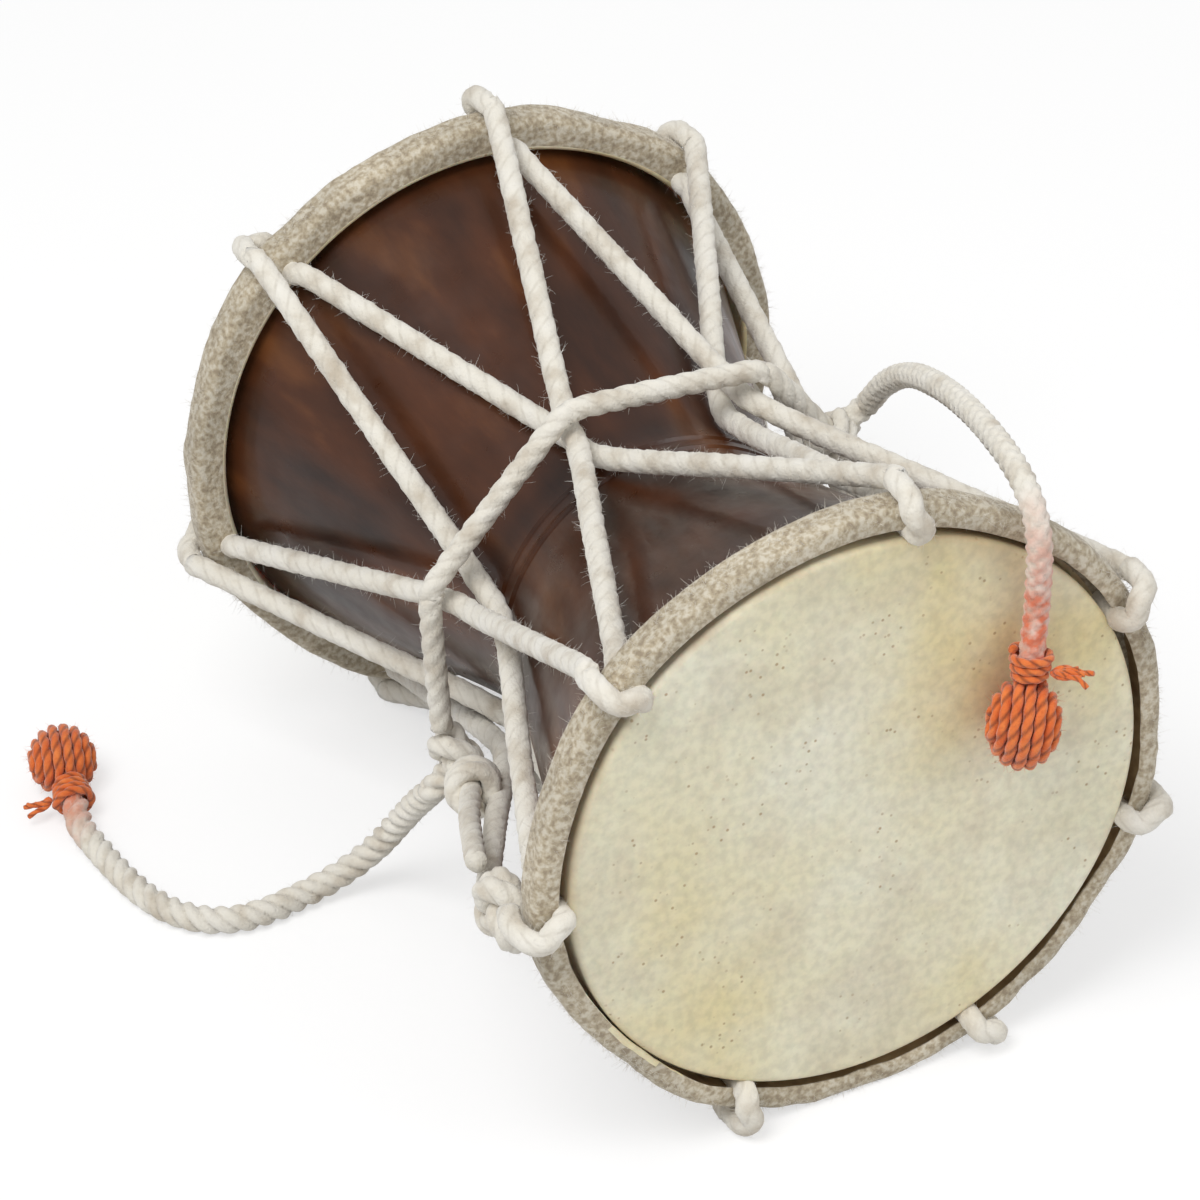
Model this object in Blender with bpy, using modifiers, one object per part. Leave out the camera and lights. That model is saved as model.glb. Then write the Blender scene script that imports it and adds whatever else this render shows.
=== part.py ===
"""Damaru: a two-headed hourglass drum, laced with one rope, with two corded beaters.

The drum lies on its two hoops. Its axis runs along Y, the near head faces -Y and +Z is up.
Sizes are in metres. Ring angles are in degrees, from +X towards +Z, looking along +Y.
"""
import bpy
import bmesh
import math
from mathutils import Matrix, Vector

# Place of the drum's axis: the origin lies on the floor, under the middle of the whole object.
AXIS_X = 0.02406
AXIS_Y = 0.00419
AXIS_Z = 0.0751

# Turned wooden shell
RING_STEPS = 36            # facets round everything turned
WAIST_R = 0.0400
RIM_R = 0.0671
RIM_Y = 0.0963             # half the shell's length
WAIST_SOFTNESS = 0.16      # how gently the two cones meet
WALL_RIM = 0.0055
WALL_WAIST = 0.0110
RIM_CHAMFER = 0.0011
GROOVES_Y = (-0.0065, -0.0015)
GROOVE_HALF = 0.0007
GROOVE_DEPTH = 0.0006

# Heads and hoops
HEAD_Y = 0.0973            # outer face of a head, from the waist
SKIN_T = 0.0007
LAP_T = 0.0011             # the hide is thicker where it wraps the hoop
SKIN_R = 0.0681
HOOP_R = 0.0760            # outer radius over the wrapped hoop
HOOP_Y = 0.0925
CORE_DEPTH = 0.0023        # cane hoop, radially
CORE_WIDTH = 0.0060        # cane hoop, along the axis
FIT = 0.0003               # gap between pieces that touch
SLIT_R = 0.0706            # inner edge of the lap
FLAT_Z = -AXIS_Z           # where the hide is pressed flat on the floor

# Lacing: seven holes in each hoop
NEAR_LOOPS = (79.3, 136.7, 181.5, 246.5, 293.5, 341.1, 386.5)
FAR_LOOPS = (84.8, 133.3, 194.6, 246.5, 293.5, 347.5, 402.7)
NEAR_DIPS = (0.0010, 0.0008, 0.0026, 0.0002, 0.0010, 0.0008, 0.0012)
FAR_DIPS = (0.0010, 0.0012, 0.0022, 0.0002, 0.0010, 0.0008, 0.0012)
ROPE_R = 0.00265
ROPE_PINCH_R = 0.0015      # where the rope is squeezed through the hide
HOLE_R = 0.0018
HOLE_RADIUS_AT = 0.0700
UNDER_SLANT = 4.5          # degrees between a loop's outside and its inner strand
INNER_CROSS_R = 0.0450
CROSS_HALF = 0.0050
BELT_PULL = 0.6            # the belt draws each crossing this near to the waist
FIRST_LOOP = 2             # the near loop where the lacing is tied off

# Beaters
LEFT_CORD_R = 0.0033
RIGHT_CORD_R = 0.0030
YARN_R = 0.00105
YARN_LOOPS = 7.5
YARN_ACROSS = (0.90, -0.44, -0.06)      # the way in which its loops lie side by side
YARN_POINTS = 18           # points in one loop of yarn
BALL_HALF_WIDTH = 0.0082
LEFT_BALL_HALF = 0.0090
RIGHT_BALL_HALF = 0.0104
BIND_R = 0.0008

# Route of the left cord, from its knot to its ball, seen from the drum's middle
LEFT_ROUTE = ((-0.0570, 0.0016, -0.0347), (-0.0580, 0.0052, -0.0390), (-0.0591, 0.0110, -0.0456),
              (-0.0608, 0.0160, -0.0525), (-0.0640, 0.0205, -0.0600), (-0.0690, 0.0238, -0.0660),
              (-0.0757, 0.0256, -0.0700), (-0.0835, 0.0256, -0.0716), (-0.0916, 0.0246, -0.0717),
              (-0.0990, 0.0252, -0.0717), (-0.1054, 0.0284, -0.0717), (-0.1106, 0.0344, -0.0717),
              (-0.1142, 0.0430, -0.0717), (-0.1163, 0.0540, -0.0717), (-0.1175, 0.0660, -0.0715),
              (-0.1182, 0.0750, -0.0707))
LEFT_BALL = (-0.1138, 0.0970, -0.0667)
# Route of the right cord: up from the waist, over the near hoop, down in front of the head
RIGHT_ROUTE = ((0.0548, 0.0, 0.0313), (0.0550, -0.0035, 0.0354), (0.0550, -0.0090, 0.0418),
               (0.0548, -0.0170, 0.0486), (0.0537, -0.0270, 0.0548), (0.0520, -0.0400, 0.0603),
               (0.0500, -0.0530, 0.0646), (0.0480, -0.0660, 0.0675), (0.0460, -0.0780, 0.0692),
               (0.0446, -0.0866, 0.0696), (0.0435, -0.0934, 0.0688), (0.0426, -0.0990, 0.0660),
               (0.0420, -0.1023, 0.0610), (0.0417, -0.1030, 0.0545), (0.0416, -0.1024, 0.0475),
               (0.0413, -0.1020, 0.0410))
RIGHT_SWING_POINT = 9      # the point of that route, on top of the hoop, about which the end swings
RIGHT_BALL = (0.0356, -0.1059, 0.0170)
NECK_STRAIGHT = 0.0080     # the cord runs straight this far into its ball
CORD_STEP = 0.0085         # distance between the points of a cord's tube
BELT_GAP = 9.6             # degrees from the belt's knot to its ends
BELT_KNOT = (0.0578, 207.0, -0.0005)    # radius, angle and place along the axis
LACING_KNOT = (0.0757, 186.0, -0.0780)
RIGHT_HITCH_ANGLE = 29.7

COLOURS = {
    "wood": ((0.065, 0.022, 0.009), 0.22), "skin": ((0.72, 0.68, 0.50), 0.60),
    "cane": ((0.45, 0.32, 0.17), 0.60), "rope": ((0.74, 0.71, 0.64), 0.95),
    "cord": ((0.72, 0.68, 0.62), 0.95), "yarn": ((0.72, 0.20, 0.03), 0.85),
    "bead": ((0.35, 0.22, 0.12), 0.60),
}


def start_clean():
    for old in list(bpy.data.objects):
        bpy.data.objects.remove(old)
    drum = bpy.data.collections.new("damaru")
    cutters = bpy.data.collections.new("cutters")
    for collection in (drum, cutters):
        bpy.context.scene.collection.children.link(collection)
    return drum, cutters


def pivot(name, place, parent=None):
    """An empty at a place given from the drum's middle."""
    empty = bpy.data.objects.new(name, None)
    empty.empty_display_size = 0.01
    DRUM.objects.link(empty)
    empty["place"] = place
    if parent is None:
        empty.location = place
    else:
        empty.parent = parent
        empty.location = Vector(place) - Vector(parent["place"])
    return empty


def material(name, kind):
    colour, roughness = COLOURS[kind]
    new = bpy.data.materials.new(name)
    new.use_nodes = True
    shader = new.node_tree.nodes["Principled BSDF"]
    shader.inputs["Base Color"].default_value = (*colour, 1.0)
    shader.inputs["Roughness"].default_value = roughness
    shader.inputs["Metallic"].default_value = 0.0
    return new


def place(obj, parent, kind):
    """Hangs an object made in drum coordinates on its pivot and gives it its material."""
    obj.parent = parent
    obj.location = -Vector(parent["place"]) if parent is not AXIS else Vector((0, 0, 0))
    obj.data.materials.append(material(obj.name, kind))
    if obj.name not in DRUM.objects:
        DRUM.objects.link(obj)
    return obj


def ring_point(radius, angle, y):
    turn = math.radians(angle)
    return Vector((radius * math.cos(turn), y, radius * math.sin(turn)))


def outer_radius(y):
    """Outside of the shell: two cones that meet in a softened waist."""
    along = min(abs(y) / RIM_Y, 1.0)
    soft = WAIST_SOFTNESS
    rise = (math.sqrt(along ** 2 + soft ** 2) - soft) / (math.sqrt(1 + soft ** 2) - soft)
    return WAIST_R + (RIM_R - WAIST_R) * rise


def wall(y):
    along = min(abs(y) / RIM_Y, 1.0)
    return WALL_WAIST + (WALL_RIM - WALL_WAIST) * along


def spun(name, profile, closed):
    """Turns a profile of (radius, y) points round the drum's axis into a closed mesh."""
    outline = bpy.data.meshes.new(name + "_profile")
    count = len(profile)
    edges = [(i, (i + 1) % count) for i in range(count if closed else count - 1)]
    outline.from_pydata([(r, y, 0.0) for r, y in profile], edges, [])
    lathe = bpy.data.objects.new(name + "_profile", outline)
    DRUM.objects.link(lathe)
    screw = lathe.modifiers.new("turn", "SCREW")
    screw.axis = "Y"
    screw.steps = screw.render_steps = RING_STEPS
    screw.use_merge_vertices = True
    screw.merge_threshold = 0.00005
    ready = lathe.evaluated_get(bpy.context.evaluated_depsgraph_get())
    mesh = bpy.data.meshes.new_from_object(ready)
    bpy.data.objects.remove(lathe)
    work = bmesh.new()
    work.from_mesh(mesh)
    bmesh.ops.remove_doubles(work, verts=work.verts, dist=0.00002)
    bmesh.ops.recalc_face_normals(work, faces=work.faces)
    work.to_mesh(mesh)
    work.free()
    mesh.name = name
    return bpy.data.objects.new(name, mesh)


def smooth(obj, degrees=35):
    obj.data.shade_smooth()
    obj.data.set_sharp_from_angle(angle=math.radians(degrees))


def make_shell():
    outside = [(RIM_R - RIM_CHAMFER, RIM_Y), (RIM_R, RIM_Y - RIM_CHAMFER)]
    stations = [0.086, 0.074, 0.060, 0.045, 0.031, 0.019, 0.0095, 0.003]
    outside += [(outer_radius(y), y) for y in stations]
    for groove in reversed(GROOVES_Y):
        outside += [(outer_radius(groove + GROOVE_HALF), groove + GROOVE_HALF),
                    (outer_radius(groove) - GROOVE_DEPTH, groove),
                    (outer_radius(groove - GROOVE_HALF), groove - GROOVE_HALF)]
    outside += [(outer_radius(y), -y) for y in reversed(stations[:-2])]
    outside += [(RIM_R, -RIM_Y + RIM_CHAMFER), (RIM_R - RIM_CHAMFER, -RIM_Y)]
    inner_stations = [RIM_Y, 0.080, 0.055, 0.030, 0.012]
    inner_stations += [-y for y in reversed(inner_stations)]
    inside = [(outer_radius(y) - wall(y), -y) for y in inner_stations]
    shell = spun("shell", outside + inside, closed=True)
    smooth(shell)
    return place(shell, AXIS, "wood")


def dip(angle, loops, dips):
    """How far the hoop is drawn in between two loops of the lacing."""
    for i, low in enumerate(loops):
        high = loops[i + 1] if i + 1 < len(loops) else loops[0] + 360.0
        turned = (angle - low) % 360.0
        if turned <= high - low:
            share = turned / (high - low)
            return dips[i] * (1 - math.cos(2 * math.pi * share)) / 2
    return 0.0


def draw_in(obj, loops, dips):
    """Draws the hoop in between its loops; the skin inside it stays round."""
    for vertex in obj.data.vertices:
        x, y, z = vertex.co
        radius = math.hypot(x, z)
        share = min(max((radius - SKIN_R - 0.0002) / 0.0027, 0.0), 1.0)
        if share > 0:
            angle = math.degrees(math.atan2(z, x))
            scale = (radius - share * dip(angle, loops, dips)) / radius
            vertex.co = (x * scale, y, z * scale)


def cutter(name, mesh_maker, turn, spot):
    """A hidden shape at a spot given from the drum's middle."""
    mesh = bpy.data.meshes.new(name)
    work = bmesh.new()
    mesh_maker(work)
    work.to_mesh(mesh)
    work.free()
    tool = bpy.data.objects.new(name, mesh)
    tool.hide_render = True
    tool.display_type = "WIRE"
    tool.parent = AXIS
    tool.matrix_local = Matrix.Translation(spot) @ turn
    CUTTERS.objects.link(tool)
    return tool


def cut(obj, tool):
    difference = obj.modifiers.new("cut_" + tool.name, "BOOLEAN")
    difference.operation = "DIFFERENCE"
    difference.solver = "EXACT"
    difference.object = tool


def make_head(side, sign, loops, dips):
    """One hide: the playing skin, its fold over the rim and the lap wrapped round the hoop."""
    inner = SKIN_R - SKIN_T
    back = HOOP_Y - CORE_WIDTH / 2 - FIT - LAP_T
    front = HOOP_Y + CORE_WIDTH / 2 + FIT + LAP_T
    hollow_r = HOOP_R - LAP_T
    profile = [
        (0.0, HEAD_Y), (SKIN_R - 0.0017, HEAD_Y), (SKIN_R - 0.0005, HEAD_Y - 0.0004),
        (SKIN_R, HEAD_Y - 0.0014), (SKIN_R, back + LAP_T + 0.0009), (SKIN_R + 0.0008, back + LAP_T),
        (hollow_r - 0.0007, back + LAP_T), (hollow_r, back + LAP_T + 0.0007),
        (hollow_r, front - LAP_T - 0.0007), (hollow_r - 0.0007, front - LAP_T),
        (SLIT_R, front - LAP_T), (SLIT_R - 0.0003, front - LAP_T / 2), (SLIT_R + 0.0002, front),
        (HOOP_R - 0.0016, front), (HOOP_R - 0.0004, front - 0.0009), (HOOP_R, front - 0.0022),
        (HOOP_R, back + 0.0025), (HOOP_R - 0.0005, back + 0.0010), (HOOP_R - 0.0017, back),
        (inner + 0.0010, back), (inner, back + 0.0012), (inner, HEAD_Y - SKIN_T - 0.0010),
        (inner - 0.0007, HEAD_Y - SKIN_T), (0.0, HEAD_Y - SKIN_T)]
    head = spun(side + "_head_skin", [(r, sign * y) for r, y in profile], closed=False)
    draw_in(head, loops, dips)
    smooth(head)
    place(head, AXIS, "skin")
    along_y = Matrix.Rotation(math.radians(90), 4, "X")
    for i, angle in enumerate(loops):
        spot = ring_point(HOLE_RADIUS_AT, angle - UNDER_SLANT / 2, sign * HOOP_Y)
        hole = cutter(f"{side}_hole_{i}", lambda work: bmesh.ops.create_cone(
            work, cap_ends=True, segments=10, radius1=HOLE_R, radius2=HOLE_R, depth=0.016), along_y, spot)
        cut(head, hole)
    floor_block = cutter(side + "_floor_block", lambda work: bmesh.ops.create_cube(work, size=0.08),
                         Matrix(), Vector((0, sign * HOOP_Y, FLAT_Z - 0.04)))
    cut(head, floor_block)
    return head


def make_hoop(side, sign, loops, dips):
    """The cane hoop inside the lap."""
    outer = HOOP_R - LAP_T - FIT
    low, high = HOOP_Y - CORE_WIDTH / 2, HOOP_Y + CORE_WIDTH / 2
    soft = 0.0008
    profile = [(outer - soft, high), (outer, high - soft), (outer, low + soft), (outer - soft, low),
               (outer - CORE_DEPTH, low), (outer - CORE_DEPTH, high)]
    hoop = spun(side + "_hoop", [(r, sign * y) for r, y in profile], closed=True)
    draw_in(hoop, loops, dips)
    smooth(hoop)
    return place(hoop, AXIS, "cane")


def smooth_route(points, step):
    """Evenly spaced points on a smooth curve through the given ones."""
    route = [Vector(p) for p in points]
    ends = [2 * route[0] - route[1]] + route + [2 * route[-1] - route[-2]]
    fine = []
    for a, b, c, d in zip(ends, ends[1:], ends[2:], ends[3:]):
        for i in range(12):
            t = i / 12
            fine.append(0.5 * (2 * b + (c - a) * t + (2 * a - 5 * b + 4 * c - d) * t ** 2
                               + (3 * b - a - 3 * c + d) * t ** 3))
    fine.append(route[-1])
    lengths = [0.0]
    for before, after in zip(fine, fine[1:]):
        lengths.append(lengths[-1] + (after - before).length)
    count = max(2, round(lengths[-1] / step))
    spaced = []
    at = 0
    for i in range(count + 1):
        target = lengths[-1] * i / count
        while at < len(fine) - 2 and lengths[at + 1] < target:
            at += 1
        share = (target - lengths[at]) / max(lengths[at + 1] - lengths[at], 1e-9)
        spaced.append(fine[at].lerp(fine[at + 1], share))
    return spaced, lengths[-1]


def tube(name, points, radius, parent, kind, rings=2, widths=None, closed=False):
    """A rope or cord: a curve with a round section, its width set at each point."""
    curve = bpy.data.curves.new(name, "CURVE")
    curve.dimensions = "3D"
    curve.bevel_depth = radius
    curve.bevel_resolution = rings
    curve.use_fill_caps = True
    spline = curve.splines.new("POLY")
    spline.points.add(len(points) - 1)
    spline.use_cyclic_u = closed
    for i, spot in enumerate(points):
        spline.points[i].co = (*spot, 1.0)
        spline.points[i].radius = widths[i] if widths else 1.0
    rope = bpy.data.objects.new(name, curve)
    return place(rope, parent, kind)


def crossing(i):
    """Angle and y where the two strands between loops i and i + 1 cross."""
    near, near_next = NEAR_LOOPS[i], loop_angle(NEAR_LOOPS, i + 1)
    far, far_next = FAR_LOOPS[i], loop_angle(FAR_LOOPS, i + 1)
    rising = far_next - near
    falling = near_next - far
    share = (near_next - near) / (rising + falling)
    return near + rising * share, BELT_PULL * (2 * share - 1) * HOOP_Y


def loop_angle(loops, i):
    turns, index = divmod(i, len(loops))
    return loops[index] + 360.0 * turns


def hoop_loop(sign, angle):
    """A loop from its outer strand, over the hoop, down through the hide and out beneath it."""
    hole = angle - UNDER_SLANT / 2
    under = angle - UNDER_SLANT
    run = [(0.0776, angle, 0.0866, 1.0), (0.0790, angle, 0.0903, 1.0), (0.0790, angle, 0.0946, 1.0),
           (0.0783, angle, 0.0979, 1.0), (0.0756, angle, 0.0999, 1.0), (0.0726, hole, 0.1001, 0.95),
           (0.0706, hole, 0.0991, 0.76), (0.0700, hole, 0.0970, 0.57), (0.0700, hole, 0.0875, 0.57),
           (0.0699, (hole + under) / 2, 0.0845, 0.80), (0.0680, under, 0.0790, 1.0)]
    return [(ring_point(r, turned, sign * y), width) for r, turned, y, width in run]


def crossing_reach(i):
    """Where the strands at crossing i are drawn in, from this y to that one."""
    angle, y = crossing(i)
    return min(y, 0.0) - CROSS_HALF, max(y, 0.0) + CROSS_HALF


def crossing_radii(i):
    """Radii of the inner strand, the outer strand and the belt at crossing i."""
    low, high = crossing_reach(i)
    clear_of_wood = outer_radius(max(high, -low)) + ROPE_R + 0.0009
    inner = max(INNER_CROSS_R, clear_of_wood)
    outer = inner + 2 * ROPE_R + FIT
    return inner, outer, outer + 2 * ROPE_R + FIT


def lacing_points():
    """The whole lacing, from its tie on the near hoop round all fourteen loops and back."""
    count = len(NEAR_LOOPS)
    run = []
    for step in range(2 * count):
        i = (FIRST_LOOP - step) % count
        far_end = step % 2 == 1
        sign = 1 if far_end else -1
        loops = FAR_LOOPS if far_end else NEAR_LOOPS
        here = hoop_loop(sign, loops[i])
        run += here
        j = (i - 1) % count
        other = NEAR_LOOPS if far_end else FAR_LOOPS
        start = here[-1][0]
        end = hoop_loop(-sign, other[j])[0][0]
        if step == 2 * count - 1:
            end = ring_point(LACING_KNOT[0] - 0.0005, LACING_KNOT[1] + 3.0, LACING_KNOT[2] + 0.0112)
        run += strand(start, end, j, over=far_end == (j != 0), towards=-sign)
        if step == 2 * count - 1:
            run.append((end, 1.0))
    return run


def strand(start, end, i, over, towards):
    """A taut strand from one loop to the next, drawn in under the belt at crossing i."""
    angle, y = crossing(i)
    radius = crossing_radii(i)[1 if over else 0]
    stops = crossing_reach(i) if towards > 0 else crossing_reach(i)[::-1]
    swing = (angle_of(end) - angle_of(start) + 180.0) % 360.0 - 180.0
    reach = end.y - start.y
    points = []
    for stop in stops:
        turned = angle_of(start) + swing * (stop - start.y) / reach
        near_middle = angle_of(start) + swing * (y - start.y) / reach
        correction = (angle - near_middle + 180.0) % 360.0 - 180.0
        points.append(ring_point(radius, turned + correction, stop))
    before = start.lerp(points[0], 0.5)
    after = points[1].lerp(end, 0.5)
    return [(spot, 1.0) for spot in (before, points[0], points[1], after)]


def angle_of(spot):
    return math.degrees(math.atan2(spot.z, spot.x))


def make_lacing():
    run = lacing_points()
    return tube("lacing_rope", [spot for spot, width in run], ROPE_R, AXIS, "rope",
                rings=1, widths=[width for spot, width in run])


def belt_points():
    """The belt round the waist: straight from crossing to crossing, ends at its knot."""
    knot_radius, knot_angle, knot_y = BELT_KNOT
    corners = [((crossing(i)[0] - knot_angle) % 360.0, crossing_radii(i)[2]) for i in range(len(NEAR_LOOPS))]
    points = [ring_point(knot_radius - 0.0004, knot_angle + BELT_GAP, knot_y)]
    for turned, radius in sorted(corners):
        if BELT_GAP + 5.0 < turned < 355.0 - BELT_GAP:
            points += [ring_point(radius, knot_angle + turned + step, 0.0) for step in (-4.5, 0.0, 4.5)]
    points.append(ring_point(knot_radius - 0.0004, knot_angle - BELT_GAP, knot_y))
    return points


def basis(normal, along):
    """A turn whose Z is the normal and whose X lies near the given direction."""
    z = Vector(normal).normalized()
    x = (Vector(along) - Vector(along).dot(z) * z).normalized()
    return Matrix((x, z.cross(x), z)).transposed()


def knot_points(centre, turn, ring, swell, count=30):
    """A three-lobed overhand knot drawn tight: a closed run that twice rounds a ring."""
    points = []
    for i in range(count):
        t = 2 * math.pi * i / count
        reach = ring + swell * math.cos(3 * t)
        local = Vector((reach * math.cos(2 * t), reach * math.sin(2 * t), swell * math.sin(3 * t)))
        points.append(centre + turn @ local)
    return points


def make_knots():
    """The belt's knot, the lacing's knot behind the near hoop and the tail between them."""
    belt_spot = ring_point(*BELT_KNOT)
    lacing_spot = ring_point(*LACING_KNOT)
    belt_turn = basis(ring_point(1, BELT_KNOT[1], 0), (0, 1, 0))
    lacing_turn = basis(ring_point(1, LACING_KNOT[1], 0), (0, 1, 0))
    tube("belt_knot", knot_points(belt_spot, belt_turn, 0.0041, 0.0024), 0.0021, AXIS, "rope",
         rings=1, closed=True)
    tube("lacing_knot", knot_points(lacing_spot, lacing_turn, 0.0046, 0.0026), 0.0023, AXIS, "rope",
         rings=1, closed=True)
    start = ring_point(BELT_KNOT[0] - 0.0002, BELT_KNOT[1] - 3.0, BELT_KNOT[2] - 0.0107)
    end = ring_point(LACING_KNOT[0] + 0.0003, LACING_KNOT[1] - 4.0, LACING_KNOT[2] + 0.0112)
    middle = start.lerp(end, 0.5) + ring_point(0.0012, 195.0, 0.0)
    spots, length = smooth_route((start, middle, end), 0.010)
    tube("belt_tail", spots, 0.0024, AXIS, "rope", rings=1)


def make_hitch():
    """Two turns round the belt that carry the right cord."""
    belt = belt_points()
    for low, high in zip(belt, belt[1:]):
        turned = [(angle_of(spot) - RIGHT_HITCH_ANGLE + 180.0) % 360.0 - 180.0 for spot in (low, high)]
        if turned[0] <= 0.0 <= turned[1] and turned[1] - turned[0] < 90.0:
            before, after = low, high
            share = -turned[0] / (turned[1] - turned[0])
    centre = before.lerp(after, share)
    along = (after - before).normalized()
    turn = basis(along, ring_point(1, RIGHT_HITCH_ANGLE, 0))
    radius, thread, pitch, turns, steps = 0.0047, 0.0015, 0.0036, 2, 14
    points = []
    for i in range(turns * steps + 1):
        t = i / steps
        local = Vector((radius * math.cos(2 * math.pi * t), radius * math.sin(2 * math.pi * t),
                        pitch * (t - turns / 2)))
        points.append(centre + turn @ local)
    tube("right_cord_hitch", points, thread, AXIS, "cord", rings=1)


def rounded_start(length_points, radius):
    """Widths that close a tube's first end in a half ball, with the points that go with it."""
    first, second = length_points[0], length_points[1]
    ahead = (second - first).normalized()
    caps = [(-1.0, 0.12), (-0.92, 0.40), (-0.70, 0.71), (-0.38, 0.925), (0.0, 1.0)]
    points = [first + ahead * radius * back for back, width in caps]
    return points + length_points[1:], [width for back, width in caps] + [1.0] * (len(length_points) - 1)


def make_cord(name, route, radius, parent, trim_end=0.0):
    """A free cord whose first point is the centre of its rounded end."""
    spots, length = smooth_route(route, CORD_STEP)
    if trim_end:
        spots[-1] = spots[-1] + (spots[-2] - spots[-1]).normalized() * trim_end
    points, widths = rounded_start(spots, radius)
    tube(name, points, radius, parent, "cord", rings=2, widths=widths)
    print(name, "length", round(length * 1000, 1), "mm")


def neck_of(last, centre, half):
    """The last two points of a cord, in line with the ball that it carries."""
    centre = Vector(centre)
    way = (centre - Vector(last)).normalized()
    neck = centre - way * (half + 0.0008)
    return (tuple(neck - way * NECK_STRAIGHT), tuple(neck))


def make_ball(side, centre, neck, half, parent, cord_radius, tuft_ways):
    """Bead, wound yarn, neck binding and the loose ends of the yarn."""
    centre, neck = Vector(centre), Vector(neck)
    turn = basis(neck - centre, YARN_ACROSS)
    wound_width = BALL_HALF_WIDTH - YARN_R
    wound_half = half - YARN_R
    inset = YARN_R + 0.00035

    mesh = bpy.data.meshes.new(side + "_ball_core")
    work = bmesh.new()
    bmesh.ops.create_uvsphere(work, u_segments=12, v_segments=8, radius=1.0)
    shape = Matrix.Diagonal((wound_width - inset, wound_width - inset, wound_half - inset, 1.0))
    bmesh.ops.transform(work, matrix=Matrix.Translation(centre) @ turn.to_4x4() @ shape, verts=work.verts)
    work.to_mesh(mesh)
    work.free()
    core = bpy.data.objects.new(side + "_ball_core", mesh)
    smooth(core, 60)
    place(core, parent, "bead")

    yarn = []
    total = round(YARN_LOOPS * YARN_POINTS)
    step_angle = (2 * YARN_R + 0.00055) / wound_width
    for i in range(total + 1):
        t = i / YARN_POINTS
        lean = step_angle * (t - YARN_LOOPS / 2)
        across = wound_width * math.sin(lean)
        ring = math.cos(lean)
        local = Vector((across, wound_width * ring * math.sin(2 * math.pi * t),
                        wound_half * ring * math.cos(2 * math.pi * t)))
        yarn.append(centre + turn @ local)
    print(side, "yarn: least gap to itself", round(least_gap(yarn, YARN_R, YARN_POINTS // 2) * 1000, 2), "mm")
    tube(side + "_ball_yarn", yarn, YARN_R, parent, "yarn", rings=1)

    steps, turns = 12, 2.5
    ring_radius = cord_radius + FIT + BIND_R
    away = (neck - centre).normalized()
    start = centre + away * (half + 0.0012 + BIND_R)
    binding = []
    for i in range(round(steps * turns) + 1):
        t = i / steps
        local = Vector((ring_radius * math.cos(2 * math.pi * t), ring_radius * math.sin(2 * math.pi * t),
                        (2 * BIND_R + 0.0005) * t))
        binding.append(start + turn @ local)
    print(side, "binding: least gap to itself", round(least_gap(binding, BIND_R, steps // 2) * 1000, 2), "mm")
    tube(side + "_neck_binding", binding, BIND_R, parent, "yarn", rings=1)

    root = start + turn @ Vector((0, 0, BIND_R * 2.2))
    tuft = [root + turn @ (Vector(tuft_ways[0]).normalized() * (ring_radius + BIND_R + 0.0004))]
    for way in tuft_ways:
        tuft.append(tuft[-1] + turn @ Vector(way))
    tube(side + "_yarn_tuft", tuft, 0.0013, parent, "yarn", rings=1, widths=(0.7, 0.9, 1.15, 1.5)[:len(tuft)])


def least_gap(points, radius, skip):
    """Least distance between a winding's own turns, measured on its points."""
    best = 1.0
    for i, a in enumerate(points):
        for b in points[i + skip:]:
            best = min(best, (a - b).length)
    return best - 2 * radius


def make_beaters():
    left = pivot("left_beater_pivot", LEFT_ROUTE[0], AXIS)
    lift = pivot("right_cord_pivot", RIGHT_ROUTE[0], AXIS)
    swing = pivot("right_beater_pivot", RIGHT_ROUTE[RIGHT_SWING_POINT], AXIS)
    swing.parent = lift
    swing.location = Vector(RIGHT_ROUTE[RIGHT_SWING_POINT]) - Vector(RIGHT_ROUTE[0])

    left_end = neck_of(LEFT_ROUTE[-1], LEFT_BALL, LEFT_BALL_HALF)
    make_cord("left_cord", LEFT_ROUTE + left_end, LEFT_CORD_R, left)
    make_ball("left", LEFT_BALL, left_end[1], LEFT_BALL_HALF, left, LEFT_CORD_R,
              ((-0.0014, -0.0004, 0.0003), (-0.0022, -0.0008, -0.0004), (-0.0018, -0.0006, -0.0008)))

    rise = RIGHT_ROUTE[:RIGHT_SWING_POINT + 1]
    right_end = neck_of(RIGHT_ROUTE[-1], RIGHT_BALL, RIGHT_BALL_HALF)
    fall = RIGHT_ROUTE[RIGHT_SWING_POINT:] + right_end
    make_cord("right_cord_rise", rise, RIGHT_CORD_R, lift, trim_end=RIGHT_CORD_R + FIT)
    make_cord("right_cord_fall", fall, RIGHT_CORD_R, swing)
    make_ball("right", RIGHT_BALL, right_end[1], RIGHT_BALL_HALF, swing, RIGHT_CORD_R,
              ((0.0016, -0.0008, 0.0004), (0.0028, -0.0010, 0.0004), (0.0024, -0.0006, -0.0004)))


DRUM, CUTTERS = start_clean()
AXIS = pivot("drum_axis", (AXIS_X, AXIS_Y, AXIS_Z))
AXIS["place"] = (0.0, 0.0, 0.0)
make_shell()
for side, sign, loops, dips in (("near", -1, NEAR_LOOPS, NEAR_DIPS), ("far", 1, FAR_LOOPS, FAR_DIPS)):
    make_head(side, sign, loops, dips)
    make_hoop(side, sign, loops, dips)
make_lacing()
tube("belt_rope", belt_points(), ROPE_R, AXIS, "rope", rings=1)
make_knots()
make_hitch()
make_beaters()
bpy.context.view_layer.update()
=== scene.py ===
import math
import random

import bpy
from mathutils import Matrix, Vector, noise


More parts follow.
